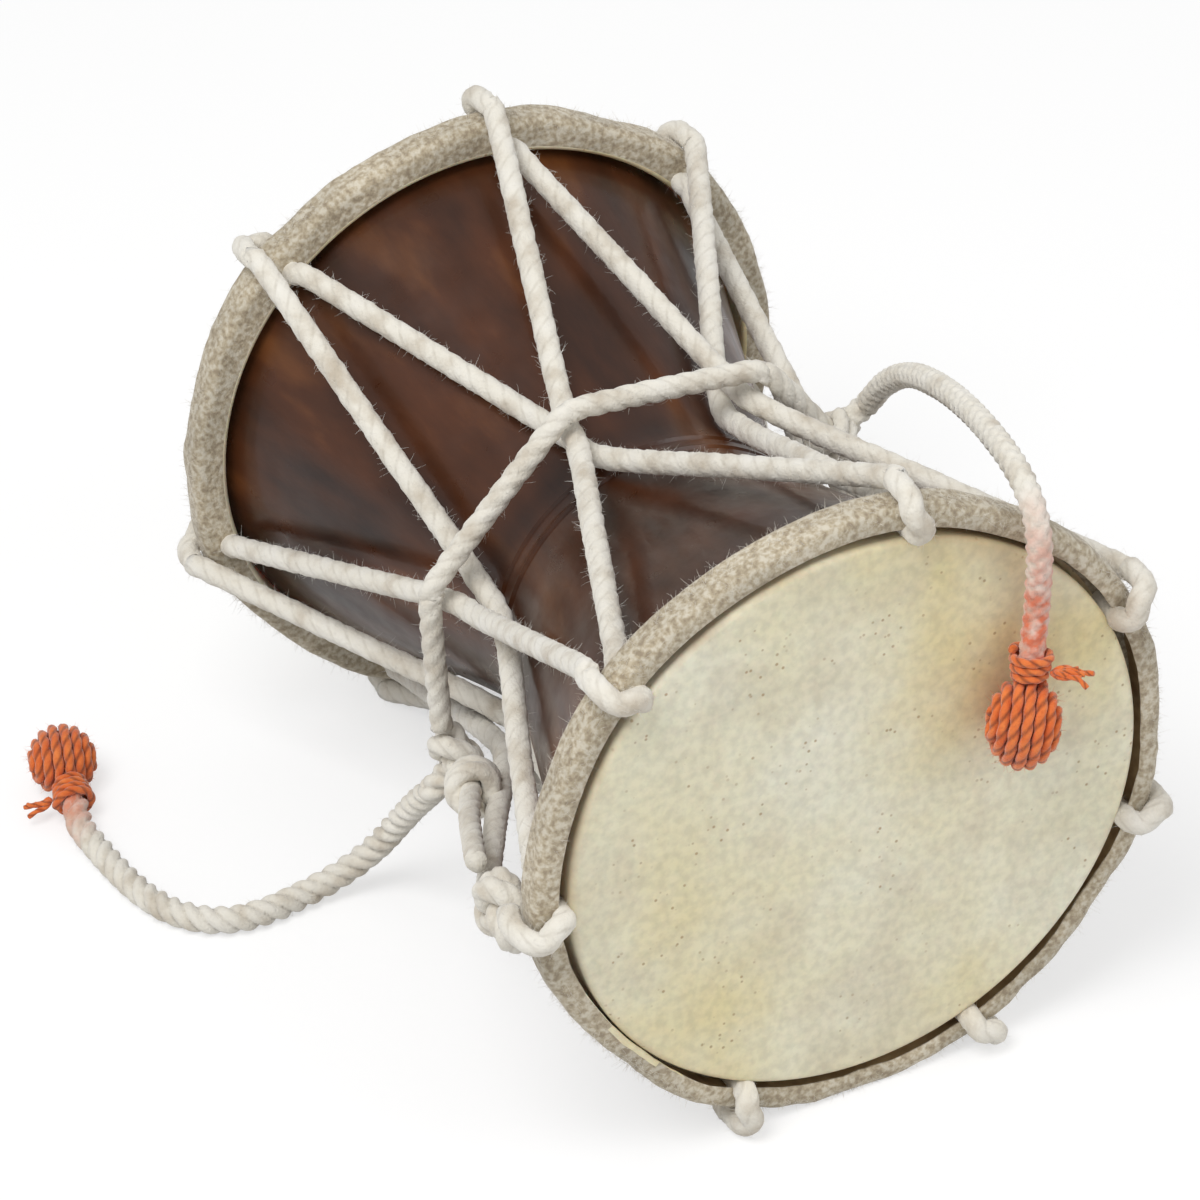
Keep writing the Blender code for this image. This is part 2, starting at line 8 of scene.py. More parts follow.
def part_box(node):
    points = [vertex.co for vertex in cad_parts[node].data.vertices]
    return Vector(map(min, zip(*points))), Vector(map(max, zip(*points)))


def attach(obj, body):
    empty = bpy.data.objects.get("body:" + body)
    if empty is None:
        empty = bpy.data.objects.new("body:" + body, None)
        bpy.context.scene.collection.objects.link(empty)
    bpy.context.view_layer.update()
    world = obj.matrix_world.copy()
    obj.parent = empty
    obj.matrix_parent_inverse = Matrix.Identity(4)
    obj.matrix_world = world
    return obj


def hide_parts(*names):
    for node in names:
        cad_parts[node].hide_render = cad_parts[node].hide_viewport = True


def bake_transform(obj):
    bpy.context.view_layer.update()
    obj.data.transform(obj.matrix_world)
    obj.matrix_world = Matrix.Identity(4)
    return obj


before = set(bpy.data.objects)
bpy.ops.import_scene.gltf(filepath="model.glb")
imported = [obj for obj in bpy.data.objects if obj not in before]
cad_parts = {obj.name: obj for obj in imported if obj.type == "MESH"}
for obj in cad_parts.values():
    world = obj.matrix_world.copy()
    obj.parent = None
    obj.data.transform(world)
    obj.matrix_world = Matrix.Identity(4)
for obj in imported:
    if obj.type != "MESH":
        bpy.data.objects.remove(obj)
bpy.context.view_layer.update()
shellLow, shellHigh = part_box("shell")
centre = (shellLow + shellHigh) / 2  # the drum's middle: its axis runs along Y through it
floorZ, floorGap = 0.0, 0.00005
print("frame loaded")

# camera

cameraLook = {
    "place": (-0.4327, -0.9561, 0.7341),  # from the drum's middle
    "right": (0.8970, -0.4381, -0.0588),
    "up": (0.2955, 0.4955, 0.8168),
    "lens": 170.4,
}


def makeCamera():
    right = Vector(cameraLook["right"]).normalized()
    back = right.cross(Vector(cameraLook["up"])).normalized()
    up = back.cross(right)
    data = bpy.data.cameras.new("camera")
    data.lens = cameraLook["lens"]
    data.sensor_width = 36
    data.clip_start = 0.05
    camera = bpy.data.objects.new("camera", data)
    bpy.context.scene.collection.objects.link(camera)
    turn = Matrix((right, up, back)).transposed().to_4x4()
    camera.matrix_world = Matrix.Translation(centre + Vector(cameraLook["place"])) @ turn
    bpy.context.scene.camera = camera


makeCamera()

# drum sizes, in metres from the drum's middle; ring angles in degrees from +X towards +Z

drum = {
    "waist": 0.0400, "rim": 0.0671, "rimY": 0.0963, "softness": 0.16,
    "wallRim": 0.0055, "wallWaist": 0.0110, "lines": (-0.0065, -0.0015), "chamfer": 0.0011,
    "lineForm": ((0.0002, 0.0009), (-0.0005, 0.0003), (-0.0005, -0.0003), (0.0002, -0.0009)),
    "lineHalf": 0.0019,
    "headY": 0.0973, "skin": 0.0007, "skinR": 0.0681, "lap": 0.0011,
    "hoopR": 0.0760, "hoopY": 0.0925, "hoopWidth": 0.0060, "slitR": 0.0706, "fit": 0.0003,
}
lacing = {
    "near": (79.3, 136.7, 181.5, 246.5, 293.5, 341.1, 386.5),
    "far": (84.8, 133.3, 194.6, 246.5, 293.5, 347.5, 402.7),
    "nearDips": (0.0010, 0.0008, 0.0026, 0.0002, 0.0010, 0.0008, 0.0012),
    "farDips": (0.0010, 0.0012, 0.0022, 0.0002, 0.0010, 0.0008, 0.0012),
    "rope": 0.00265, "slant": 4.5, "crossHalf": 0.0050, "pull": 0.6, "inner": 0.0450, "shellGap": 0.0009,
    "lastIn": 0.0005, "lastTurn": 3, "lastAlong": 0.0112,
}
beltLook = {"knot": (0.0578, 207.0, -0.0005), "gap": 9.6, "endIn": 0.0004, "bend": 4.5, "clear": 5}
tailLook = {"startIn": 0.0002, "startTurn": 3, "startAlong": 0.0107, "endOut": 0.0003, "endTurn": 4,
            "endAlong": 0.0112, "side": 195, "bulge": 0.0012}
lacingKnot = (0.0757, 186.0, -0.0780)


def fromMiddle(x, y, z):
    return centre + Vector((x, y, z))


def ringPoint(radius, angle, y):
    turn = math.radians(angle)
    return fromMiddle(radius * math.cos(turn), y, radius * math.sin(turn))


def ringAngle(spot):
    return math.degrees(math.atan2(spot.z - centre.z, spot.x - centre.x))


def outerRadius(y):
    along, soft = min(abs(y) / drum["rimY"], 1), drum["softness"]
    rise = (math.sqrt(along ** 2 + soft ** 2) - soft) / (math.sqrt(1 + soft ** 2) - soft)
    return drum["waist"] + (drum["rim"] - drum["waist"]) * rise


# routes of the free cords, the same as in the solids

leftRoute = (
    (-0.0570, 0.0016, -0.0347), (-0.0580, 0.0052, -0.0390), (-0.0591, 0.0110, -0.0456),
    (-0.0608, 0.0160, -0.0525), (-0.0640, 0.0205, -0.0600), (-0.0690, 0.0238, -0.0660),
    (-0.0757, 0.0256, -0.0700), (-0.0835, 0.0256, -0.0716), (-0.0916, 0.0246, -0.0717),
    (-0.0990, 0.0252, -0.0717), (-0.1054, 0.0284, -0.0717), (-0.1106, 0.0344, -0.0717),
    (-0.1142, 0.0430, -0.0717), (-0.1163, 0.0540, -0.0717), (-0.1175, 0.0660, -0.0715),
    (-0.1182, 0.0750, -0.0707),
)
rightRoute = (
    (0.0548, 0.0, 0.0313), (0.0550, -0.0035, 0.0354), (0.0550, -0.0090, 0.0418),
    (0.0548, -0.0170, 0.0486), (0.0537, -0.0270, 0.0548), (0.0520, -0.0400, 0.0603),
    (0.0500, -0.0530, 0.0646), (0.0480, -0.0660, 0.0675), (0.0460, -0.0780, 0.0692),
    (0.0446, -0.0866, 0.0696), (0.0435, -0.0934, 0.0688), (0.0426, -0.0990, 0.0660),
    (0.0420, -0.1023, 0.0610), (0.0417, -0.1030, 0.0545), (0.0416, -0.1024, 0.0475),
    (0.0413, -0.1020, 0.0410),
)
beaters = {
    "left": {"ball": (-0.1138, 0.0970, -0.0667), "half": 0.0090, "cord": 0.0033},
    "right": {"ball": (0.0356, -0.1059, 0.0170), "half": 0.0104, "cord": 0.0030},
}
yarnLook = {
    "thread": 0.00105, "shown": 0.00125, "loops": 7.5, "loopSteps": 60, "loopGap": 0.00055,
    "halfWidth": 0.0082, "across": (0.9, -0.44, -0.06), "sink": 0.0006, "coreShade": 0.8,
    "bind": 0.0008, "bindShown": 0.00105, "bindTurns": 3.5, "bindSteps": 40, "bindIn": 0.0006,
    "bindNarrow": 0.0012, "bindGap": 0.0003,
}


# even points on a smooth curve through the given ones, and the length of that curve

def smoothPath(points, step):
    ends = [2 * points[0] - points[1]] + list(points) + [2 * points[-1] - points[-2]]
    fine = []
    for a, b, c, d in zip(ends, ends[1:], ends[2:], ends[3:]):
        count = max(4, int((c - b).length / step * 2))
        for i in range(count):
            t = i / count
            fine.append(0.5 * (2 * b + (c - a) * t + (2 * a - 5 * b + 4 * c - d) * t ** 2
                               + (3 * b - a - 3 * c + d) * t ** 3))
    fine.append(points[-1])
    lengths = [0.0]
    for before, after in zip(fine, fine[1:]):
        lengths.append(lengths[-1] + (after - before).length)
    count = max(2, round(lengths[-1] / step))
    spaced, at = [], 0
    for i in range(count + 1):
        target = lengths[-1] * i / count
        while at < len(fine) - 2 and lengths[at + 1] < target:
            at += 1
        share = (target - lengths[at]) / max(lengths[at + 1] - lengths[at], 1e-9)
        spaced.append(fine[at].lerp(fine[at + 1], min(share, 1.0)))
    return spaced, lengths[-1]


# how far a strand's surface lies below a plain round rope, 0 on its crest and 1 in its groove

def twisted(strands, pitch):
    def groove(around, along):
        share = ((around / (2 * math.pi) - along / pitch) * strands) % 1 - 0.5
        delta = share * 2 * math.pi / strands
        size = 1 / (1 + 1 / math.sin(math.pi / strands))
        reach = 1 - size
        inside = max(size ** 2 - (reach * math.sin(delta)) ** 2, 0)
        low = reach * math.cos(math.pi / strands)
        return (1 - reach * math.cos(delta) - math.sqrt(inside)) / (1 - low)
    return groove


def braided(strands, pitch):
    def groove(around, along):
        u = around / (2 * math.pi) * strands + along / pitch
        v = around / (2 * math.pi) * strands - along / pitch
        over = (math.floor(u) + math.floor(v)) % 2 == 0
        across = (u if over else v) % 1 - 0.5
        onward = (v if over else u) % 1 - 0.5
        height = math.sqrt(max(1 - (1.9 * across) ** 2, 0)) * (0.45 + 0.55 * math.cos(math.pi * onward))
        return 1 - height
    return groove


# a tube round a path, lowered along its grooves; each point keeps its groove depth, which the materials use
# for painted shade in the grooves, and its place along the path

def ropeTube(name, path, radius, sides, groove, depth, wander=0.03, closed=False, ends=(1, 1)):
    rings, verts, lows, places = len(path), [], [], []
    normal = (path[1] - path[0]).orthogonal().normalized()
    lengths = [0.0]
    for before, after in zip(path, path[1:]):
        lengths.append(lengths[-1] + (after - before).length)
    for i, spot in enumerate(path):
        if closed:
            tangent = (path[(i + 1) % rings] - path[i - 1]).normalized()
        else:
            tangent = (path[min(i + 1, rings - 1)] - path[max(i - 1, 0)]).normalized()
        normal = (normal - tangent * normal.dot(tangent)).normalized()
        side = tangent.cross(normal)
        width = radius
        if not closed:
            fromStart, fromEnd = lengths[i], lengths[-1] - lengths[i]
            for reach, size in ((fromStart, ends[0]), (fromEnd, ends[1])):
                if reach < radius:
                    width *= size + (1 - size) * math.sqrt(1 - (1 - reach / radius) ** 2)
        for j in range(sides):
            around = 2 * math.pi * j / sides
            low = groove(around, lengths[i])
            rough = noise.noise(Vector(spot) * 700 + Vector((j * 0.7, 0, 0)))
            reach = width * (1 - depth * low + wander * rough)
            vertex = spot + (normal * math.cos(around) + side * math.sin(around)) * reach
            vertex.z = max(vertex.z, floorZ + floorGap)  # a rope is pressed flat where it meets the floor
            verts.append(vertex)
            lows.append(low)
            places.append(lengths[i])
    faces = []
    for i in range(rings if closed else rings - 1):
        below, above = i * sides, ((i + 1) % rings) * sides
        for j in range(sides):
            k = (j + 1) % sides
            faces.append((below + j, below + k, above + k, above + j))
    if not closed:
        faces.append(tuple(reversed(range(sides))))
        faces.append(tuple(range((rings - 1) * sides, rings * sides)))
    mesh = bpy.data.meshes.new(name)
    mesh.from_pydata(verts, [], faces)
    grooveLayer = mesh.attributes.new("groove", "FLOAT", "POINT")
    grooveLayer.data.foreach_set("value", lows)
    alongLayer = mesh.attributes.new("along", "FLOAT", "POINT")
    alongLayer.data.foreach_set("value", places)
    mesh.shade_smooth()
    mesh.update()
    piece = bpy.data.objects.new(name, mesh)
    bpy.context.scene.collection.objects.link(piece)
    return piece


# stray fibres that curl off a rope, each a thin tapering strand of three sides

def fuzz(name, path, radius, perMetre, reach, thickness, seed):
    draw = random.Random(seed)
    verts, faces = [], []
    length = sum((b - a).length for a, b in zip(path, path[1:]))
    for _ in range(int(length * perMetre)):
        i = draw.randrange(1, len(path) - 1)
        tangent = (path[i + 1] - path[i - 1]).normalized()
        out = tangent.orthogonal().normalized()
        out.rotate(Matrix.Rotation(draw.uniform(0, 2 * math.pi), 3, tangent))
        spot = path[i] + out * radius * 0.93
        way = (out * draw.uniform(0.3, 1.0) + tangent * draw.uniform(-1.2, 1.2)).normalized()
        size = reach * draw.uniform(0.4, 1.0)
        bend = Vector([draw.uniform(-1, 1) for _ in range(3)])
        addFibre(verts, faces, spot, way, bend, size, thickness)
    return fibreObject(name, verts, faces)


def addFibre(verts, faces, spot, way, bend, size, thickness):
    first, side = len(verts), way.orthogonal().normalized()
    other = way.cross(side)
    for k in range(4):
        t = k / 3
        at = spot + way * size * t + bend * size * 0.5 * t * t
        width = thickness * (1 - 0.7 * t)
        for turn in range(3):
            around = 2 * math.pi * turn / 3
            verts.append(at + (side * math.cos(around) + other * math.sin(around)) * width)
    for k in range(3):
        for turn in range(3):
            a, b = first + 3 * k + turn, first + 3 * k + (turn + 1) % 3
            faces.append((a, b, b + 3, a + 3))
    faces.append((first + 2, first + 1, first))
    faces.append((first + 9, first + 10, first + 11))


def fibreObject(name, verts, faces):
    lowest = floorZ + floorGap
    verts = [v if v.z > lowest else Vector((v.x, v.y, lowest)) for v in verts]
    mesh = bpy.data.meshes.new(name)
    mesh.from_pydata(verts, [], faces)
    mesh.update()
    piece = bpy.data.objects.new(name, mesh)
    bpy.context.scene.collection.objects.link(piece)
    return piece


# materials

def startMaterial(name, roughness, **sockets):
    made = bpy.data.materials.new(name)
    made.use_nodes = True
    shader = made.node_tree.nodes["Principled BSDF"]
    shader.inputs["Roughness"].default_value = roughness
    for socket, value in sockets.items():
        shader.inputs[socket.replace("_", " ")].default_value = value
    return made, shader


def noiseAt(made, scale, detail=4.0, stretch=(1, 1, 1)):
    nodes, links = made.node_tree.nodes, made.node_tree.links
    place = nodes.new("ShaderNodeTexCoord")
    mapping = nodes.new("ShaderNodeMapping")
    mapping.inputs["Scale"].default_value = stretch
    texture = nodes.new("ShaderNodeTexNoise")
    texture.inputs["Scale"].default_value = scale
    texture.inputs["Detail"].default_value = detail
    links.new(place.outputs["Object"], mapping.inputs["Vector"])
    links.new(mapping.outputs["Vector"], texture.inputs["Vector"])
    return texture.outputs["Fac"]


def ramp(made, source, stops):
    nodes, links = made.node_tree.nodes, made.node_tree.links
    blend = nodes.new("ShaderNodeValToRGB")
    elements = blend.color_ramp.elements
    while len(elements) < len(stops):
        elements.new(0.5)
    for element, (at, colour) in zip(elements, stops):
        element.position = at
        element.color = (*colour, 1.0)
    links.new(source, blend.inputs["Fac"])
    return blend.outputs["Color"]


def mixed(made, share, first, second, blend="MIX"):
    nodes, links = made.node_tree.nodes, made.node_tree.links
    mix = nodes.new("ShaderNodeMix")
    mix.data_type = "RGBA"
    mix.blend_type = blend
    for socket, value in ((mix.inputs[0], share), (mix.inputs[6], first), (mix.inputs[7], second)):
        if isinstance(value, bpy.types.NodeSocket):
            links.new(value, socket)
        else:
            socket.default_value = value if isinstance(value, float) else (*value, 1.0)
    return mix.outputs[2]


def bump(made, height, distance, strength=1.0, after=None):
    nodes, links = made.node_tree.nodes, made.node_tree.links
    relief = nodes.new("ShaderNodeBump")
    relief.inputs["Distance"].default_value = distance
    relief.inputs["Strength"].default_value = strength
    links.new(height, relief.inputs["Height"])
    if after:
        links.new(after, relief.inputs["Normal"])
    return relief.outputs["Normal"]


def attribute(made, name):
    reader = made.node_tree.nodes.new("ShaderNodeAttribute")
    reader.attribute_name = name
    return reader.outputs["Fac"]


def grey(value):
    return (value, value, value)


varnishLook = {"dark": (0.024, 0.0075, 0.003), "brown": (0.088, 0.026, 0.008), "warm": (0.25, 0.088, 0.024)}
hideLook = {"cream": (0.86, 0.78, 0.56), "pale": (0.90, 0.85, 0.70), "yellow": (0.80, 0.67, 0.36),
            "ash": (0.66, 0.58, 0.43), "stain": (0.40, 0.27, 0.13)}
lapLook = {"light": (0.68, 0.62, 0.50), "tan": (0.52, 0.44, 0.31), "dark": (0.36, 0.29, 0.20)}
caneLook = {"dark": (0.22, 0.13, 0.06), "light": (0.45, 0.32, 0.17)}
# the shade colour is painted shade, laid into the rope's grooves
cottonLook = {"white": (0.78, 0.74, 0.65), "clean": (0.84, 0.81, 0.74), "shade": (0.46, 0.41, 0.33),
              "dirt": (0.55, 0.48, 0.38)}
tintLook = {"left": {"from": 0.122, "to": 0.138, "colour": (0.70, 0.20, 0.09)},
            "right": {"from": 0.108, "to": 0.134, "colour": (0.68, 0.16, 0.07)}}
fibreLook = {"white": (0.85, 0.83, 0.78), "hide": (0.78, 0.74, 0.66), "orange": (0.80, 0.20, 0.04)}
# the crevice brown is painted shade, laid into the yarn's crevices
yarnColours = {"light": (0.83, 0.22, 0.045), "orange": (0.68, 0.115, 0.014), "creviceShade": (0.16, 0.028, 0.006)}


def varnishedWood():
    made, shader = startMaterial("varnishedWood", 0.30, Coat_Weight=0.30, Coat_Roughness=0.10,
                                 Specular_IOR_Level=0.35)
    links = made.node_tree.links
    streaks = noiseAt(made, 60.0, 6.0, (1.0, 0.12, 1.0))
    base = ramp(made, streaks, ((0.30, varnishLook["dark"]), (0.55, varnishLook["brown"]),
                                (0.80, varnishLook["warm"])))
    blotches = noiseAt(made, 28.0, 3.0)
    cloud = ramp(made, blotches, ((0.36, grey(0.55)), (0.66, grey(1.0))))
    links.new(mixed(made, 0.8, base, cloud, "MULTIPLY"), shader.inputs["Base Color"])
    gloss = ramp(made, noiseAt(made, 120.0, 5.0), ((0.3, grey(0.26)), (0.8, grey(0.50))))
    links.new(gloss, shader.inputs["Roughness"])
    pores = bump(made, noiseAt(made, 900.0, 3.0, (1.0, 0.2, 1.0)), 0.0001, 0.35)
    ripple = bump(made, noiseAt(made, 45.0, 2.0), 0.0008, 0.35, pores)
    links.new(ripple, shader.inputs["Normal"])
    links.new(ripple, shader.inputs["Coat Normal"])
    return made


def hideSkin():
    made, shader = startMaterial("hideSkin", 0.55, Subsurface_Weight=0.15, Subsurface_Scale=0.003)
    links = made.node_tree.links
    wide = ramp(made, noiseAt(made, 16.0, 5.0), ((0.34, hideLook["yellow"]), (0.50, hideLook["cream"]),
                                                 (0.68, hideLook["pale"])))
    ash = ramp(made, noiseAt(made, 60.0, 6.0), ((0.46, grey(0.0)), (0.70, grey(0.50))))
    mottled = mixed(made, ash, wide, hideLook["ash"])
    fine = ramp(made, noiseAt(made, 420.0, 4.0), ((0.35, grey(0.86)), (0.62, grey(1.0))))
    toned = mixed(made, 1.0, mottled, fine, "MULTIPLY")
    dots = made.node_tree.nodes.new("ShaderNodeTexVoronoi")
    dots.inputs["Scale"].default_value = 420.0
    links.new(made.node_tree.nodes.new("ShaderNodeTexCoord").outputs["Object"], dots.inputs["Vector"])
    pore = ramp(made, dots.outputs["Distance"], ((0.10, grey(1.0)), (0.20, grey(0.0))))
    sparse = ramp(made, noiseAt(made, 90.0, 2.0), ((0.50, grey(0.0)), (0.62, grey(0.75))))
    dotted = mixed(made, mixed(made, 1.0, pore, sparse, "MULTIPLY"), toned, hideLook["stain"])
    edge = attribute(made, "edge")
    links.new(mixed(made, edge, dotted, hideLook["stain"]), shader.inputs["Base Color"])
    gloss = ramp(made, noiseAt(made, 50.0, 4.0), ((0.3, grey(0.42)), (0.7, grey(0.68))))
    links.new(gloss, shader.inputs["Roughness"])
    grain = bump(made, noiseAt(made, 700.0, 4.0), 0.00012, 0.5)
    links.new(bump(made, noiseAt(made, 60.0, 3.0), 0.0006, 0.4, grain), shader.inputs["Normal"])
    return made


def hideLap():
    made, shader = startMaterial("hideLap", 0.85, Sheen_Weight=0.25)
    links = made.node_tree.links
    tone = ramp(made, noiseAt(made, 750.0, 5.0), ((0.34, lapLook["dark"]), (0.48, lapLook["tan"]),
                                                  (0.62, lapLook["light"])))
    broad = ramp(made, noiseAt(made, 60.0, 4.0), ((0.35, grey(0.80)), (0.65, grey(1.0))))
    links.new(mixed(made, 1.0, tone, broad, "MULTIPLY"), shader.inputs["Base Color"])
    coarse = bump(made, noiseAt(made, 420.0, 6.0), 0.0006, 0.8)
    links.new(bump(made, noiseAt(made, 1800.0, 4.0), 0.0002, 0.8, coarse), shader.inputs["Normal"])
    return made


def caneWood():
    made, shader = startMaterial("caneWood", 0.6)
    tone = ramp(made, noiseAt(made, 200.0, 4.0), ((0.3, caneLook["dark"]), (0.7, caneLook["light"])))
    made.node_tree.links.new(tone, shader.inputs["Base Color"])
    return made


# cotton with painted shade in its grooves, and on the beater cords the orange that runs up from the ball

def cottonMaterial(name, tint=None):
    made, shader = startMaterial(name, 0.95, Sheen_Weight=0.35, Sheen_Roughness=0.6)
    links = made.node_tree.links
    base = ramp(made, noiseAt(made, 130.0, 6.0), ((0.28, cottonLook["dirt"]), (0.50, cottonLook["white"]),
                                                  (0.75, cottonLook["clean"])))
    if tint:
        along = made.node_tree.nodes.new("ShaderNodeMapRange")
        along.inputs["From Min"].default_value = tint["from"]
        along.inputs["From Max"].default_value = tint["to"]
        links.new(attribute(made, "along"), along.inputs["Value"])
        patches = ramp(made, noiseAt(made, 320.0, 4.0), ((0.35, grey(0.35)), (0.6, grey(1.0))))
        patchy = mixed(made, 1.0, along.outputs["Result"], patches, "MULTIPLY")
        base = mixed(made, patchy, base, tint["colour"])
    # painted shade: the rope's grooves are darkened towards the shade colour by their groove depth
    grooveShade = ramp(made, attribute(made, "groove"), ((0.45, grey(0.0)), (1.0, grey(0.55))))
    links.new(mixed(made, grooveShade, base, cottonLook["shade"]), shader.inputs["Base Color"])
    threads = bump(made, noiseAt(made, 1500.0, 5.0), 0.0003, 0.9)
    links.new(bump(made, noiseAt(made, 500.0, 4.0), 0.0005, 0.6, threads), shader.inputs["Normal"])
    return made


def yarnMaterial():
    made, shader = startMaterial("orangeYarn", 0.85, Sheen_Weight=0.4, Sheen_Roughness=0.5)
    links = made.node_tree.links
    base = ramp(made, noiseAt(made, 350.0, 5.0), ((0.3, yarnColours["orange"]), (0.7, yarnColours["light"])))
    # painted shade: the yarn's crevices are darkened towards the dark crevice brown by their groove depth
    grooveShade = ramp(made, attribute(made, "groove"), ((0.30, grey(0.0)), (1.0, grey(0.9))))
    links.new(mixed(made, grooveShade, base, yarnColours["creviceShade"]), shader.inputs["Base Color"])
    links.new(bump(made, noiseAt(made, 2200.0, 4.0), 0.0003, 0.9), shader.inputs["Normal"])
    return made


def plainFibre(name, colour):
    made, shader = startMaterial(name, 0.9)
    tone = ramp(made, noiseAt(made, 300.0, 3.0), ((0.3, tuple(0.8 * c for c in colour)), (0.7, colour)))
    made.node_tree.links.new(tone, shader.inputs["Base Color"])
    return made


wood, skinHide, lapHide, cane = varnishedWood(), hideSkin(), hideLap(), caneWood()
ropeCotton = cottonMaterial("ropeCotton")
leftCotton = cottonMaterial("leftCordCotton", tintLook["left"])
rightCotton = cottonMaterial("rightCordCotton", tintLook["right"])
yarn = yarnMaterial()
whiteFibre = plainFibre("whiteFibre", fibreLook["white"])
hideFibre = plainFibre("hideFibre", fibreLook["hide"])
orangeFibre = plainFibre("orangeFibre", fibreLook["orange"])
print("materials made")


def settle(piece, body, slot, materials, *nodes):
    for material in materials:
        piece.data.materials.append(material)
    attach(piece, body)
    if nodes:
        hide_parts(*nodes)


# turned and stretched pieces

def spun(name, profile, steps):
    bpy.ops.object.select_all(action="DESELECT")
    bpy.ops.mesh.primitive_plane_add(size=0.001, location=(0, 0, 0))
    piece = bpy.context.object
    piece.name = name
    bpy.ops.object.mode_set(mode="EDIT")
    bpy.ops.mesh.merge(type="CENTER")
    bpy.ops.transform.translate(value=(profile[0][0], profile[0][1], 0))
    for (r, y), (nextR, nextY) in zip(profile, profile[1:]):
        bpy.ops.mesh.extrude_region_move(TRANSFORM_OT_translate={"value": (nextR - r, nextY - y, 0)})
    bpy.ops.mesh.select_all(action="SELECT")
    bpy.ops.mesh.spin(steps=steps, angle=2 * math.pi, center=(0, 0, 0), axis=(0, 1, 0))
    bpy.ops.mesh.select_all(action="SELECT")
    bpy.ops.mesh.remove_doubles(threshold=0.00001)
    bpy.ops.mesh.normals_make_consistent(inside=False)
    bpy.ops.object.mode_set(mode="OBJECT")
    piece.data.transform(Matrix.Translation(centre))
    bpy.ops.object.shade_smooth_by_angle(angle=math.radians(40))
    return piece


def makeShell():
    rimY, chamfer = drum["rimY"], drum["chamfer"]
    outside = [(drum["rim"] - chamfer, rimY), (drum["rim"] - chamfer * 0.3, rimY - chamfer * 0.3)]
    outerSteps, innerSteps = 48, 12
    for i in range(outerSteps + 1):
        y = (rimY - chamfer) * (1 - 2 * i / outerSteps)
        for line in drum["lines"]:
            if abs(y - line) < drum["lineHalf"]:
                break
        else:
            outside.append((outerRadius(y), y))
            continue
        if outside[-1][1] > line:
            outside += [(outerRadius(line) + rise, line + along) for rise, along in drum["lineForm"]]
    outside.append((drum["rim"] - chamfer, -rimY))
    inside = []
    for i in range(innerSteps + 1):
        y = rimY * (2 * i / innerSteps - 1)
        wall = drum["wallWaist"] + (drum["wallRim"] - drum["wallWaist"]) * abs(y) / rimY
        inside.append((outerRadius(y) - wall, y))
    profile = outside + inside
    profile.append(profile[0])
    settle(spun("shellTurned", profile, 128), "drum", "varnished_wood", [wood], "shell")


def dipAt(angle, loops, dips):
    for i, low in enumerate(loops):
        high = loops[i + 1] if i + 1 < len(loops) else loops[0] + 360
        turned = (angle - low) % 360
        if turned <= high - low:
            return dips[i] * (1 - math.cos(2 * math.pi * turned / (high - low))) / 2
    return 0.0


def arc(cr, cy, radius, start, stop, count):
    turns = [math.radians(start + (stop - start) * i / count) for i in range(count + 1)]
    return [(cr + radius * math.cos(turn), cy + radius * math.sin(turn)) for turn in turns]


# the head's section, from the middle of the playing skin out round the hoop and back under the skin

headForm = {"fold": 0.0016, "throat": 0.0012, "bend": 0.0010, "roll": 0.0026,
            "skinSteps": 26, "backSteps": 10}


def headProfile():
    skin, lap, skinR, headY = drum["skin"], drum["lap"], drum["skinR"], drum["headY"]
    hoopR, slit, inner = drum["hoopR"], drum["slitR"], skinR - skin
    fold, throat, bend, roll = (headForm[key] for key in ("fold", "throat", "bend", "roll"))
    skinSteps, backSteps = headForm["skinSteps"], headForm["backSteps"]
    back = drum["hoopY"] - drum["hoopWidth"] / 2 - drum["fit"] - lap
    front = drum["hoopY"] + drum["hoopWidth"] / 2 + drum["fit"] + lap
    profile = [(skinR * i / skinSteps, headY) for i in range(skinSteps)]
    profile += arc(skinR - fold, headY - fold, fold, 90, 0, 6)
    profile += arc(skinR + throat, back + lap + throat, throat, 180, 270, 4)
    profile += arc(hoopR - lap - bend, back + lap + bend, bend, -90, 0, 4)
    profile += arc(hoopR - lap - bend, front - lap - bend, bend, 0, 90, 4)
    profile += [(slit + 0.0008, front - lap), (slit - 0.0001, front - lap * 0.8)]
    profile += [(slit - 0.0003, front - lap * 0.4), (slit + 0.0002, front), (slit + 0.0018, front + 0.0001)]
    profile += arc(hoopR - roll, front - roll, roll, 90, 0, 7)
    profile += [(hoopR, (front + back) / 2)]
    profile += arc(hoopR - roll, back + roll, roll, 0, -90, 7)
    profile += [(inner + throat, back)] + arc(inner + bend, back + bend, bend, 270, 180, 3)
    profile += [(inner, headY - skin - 0.001), (inner - 0.0007, headY - skin)]
    return profile + [(inner * (1 - i / backSteps), headY - skin) for i in range(1, backSteps + 1)]


# the unevenness of the hide: waves on the lap, a crease inside the rim, and stains near the edge

hideForm = {
    "fine": 260, "wide": 70, "lapFrom": 0.0002, "lapOver": 0.0027,
    "fineOut": 0.00030, "wideOut": 0.00065, "fineAlong": 0.00025, "wideAlong": 0.00055,
    "creaseAt": 0.885, "creaseWidth": 0.012, "creaseDepth": 0.00022, "skinWave": 0.00012,
    "edgeFrom": 0.0664, "edgeOver": 0.0018, "stainAngle": 62, "stainHalf": 14, "stainFrom": 0.0625,
    "stainOver": 0.005, "stain": 0.45, "darkest": 0.8, "lapMaterialFrom": 0.0012,
}


def upTo(value):
    return min(max(value, 0), 1)


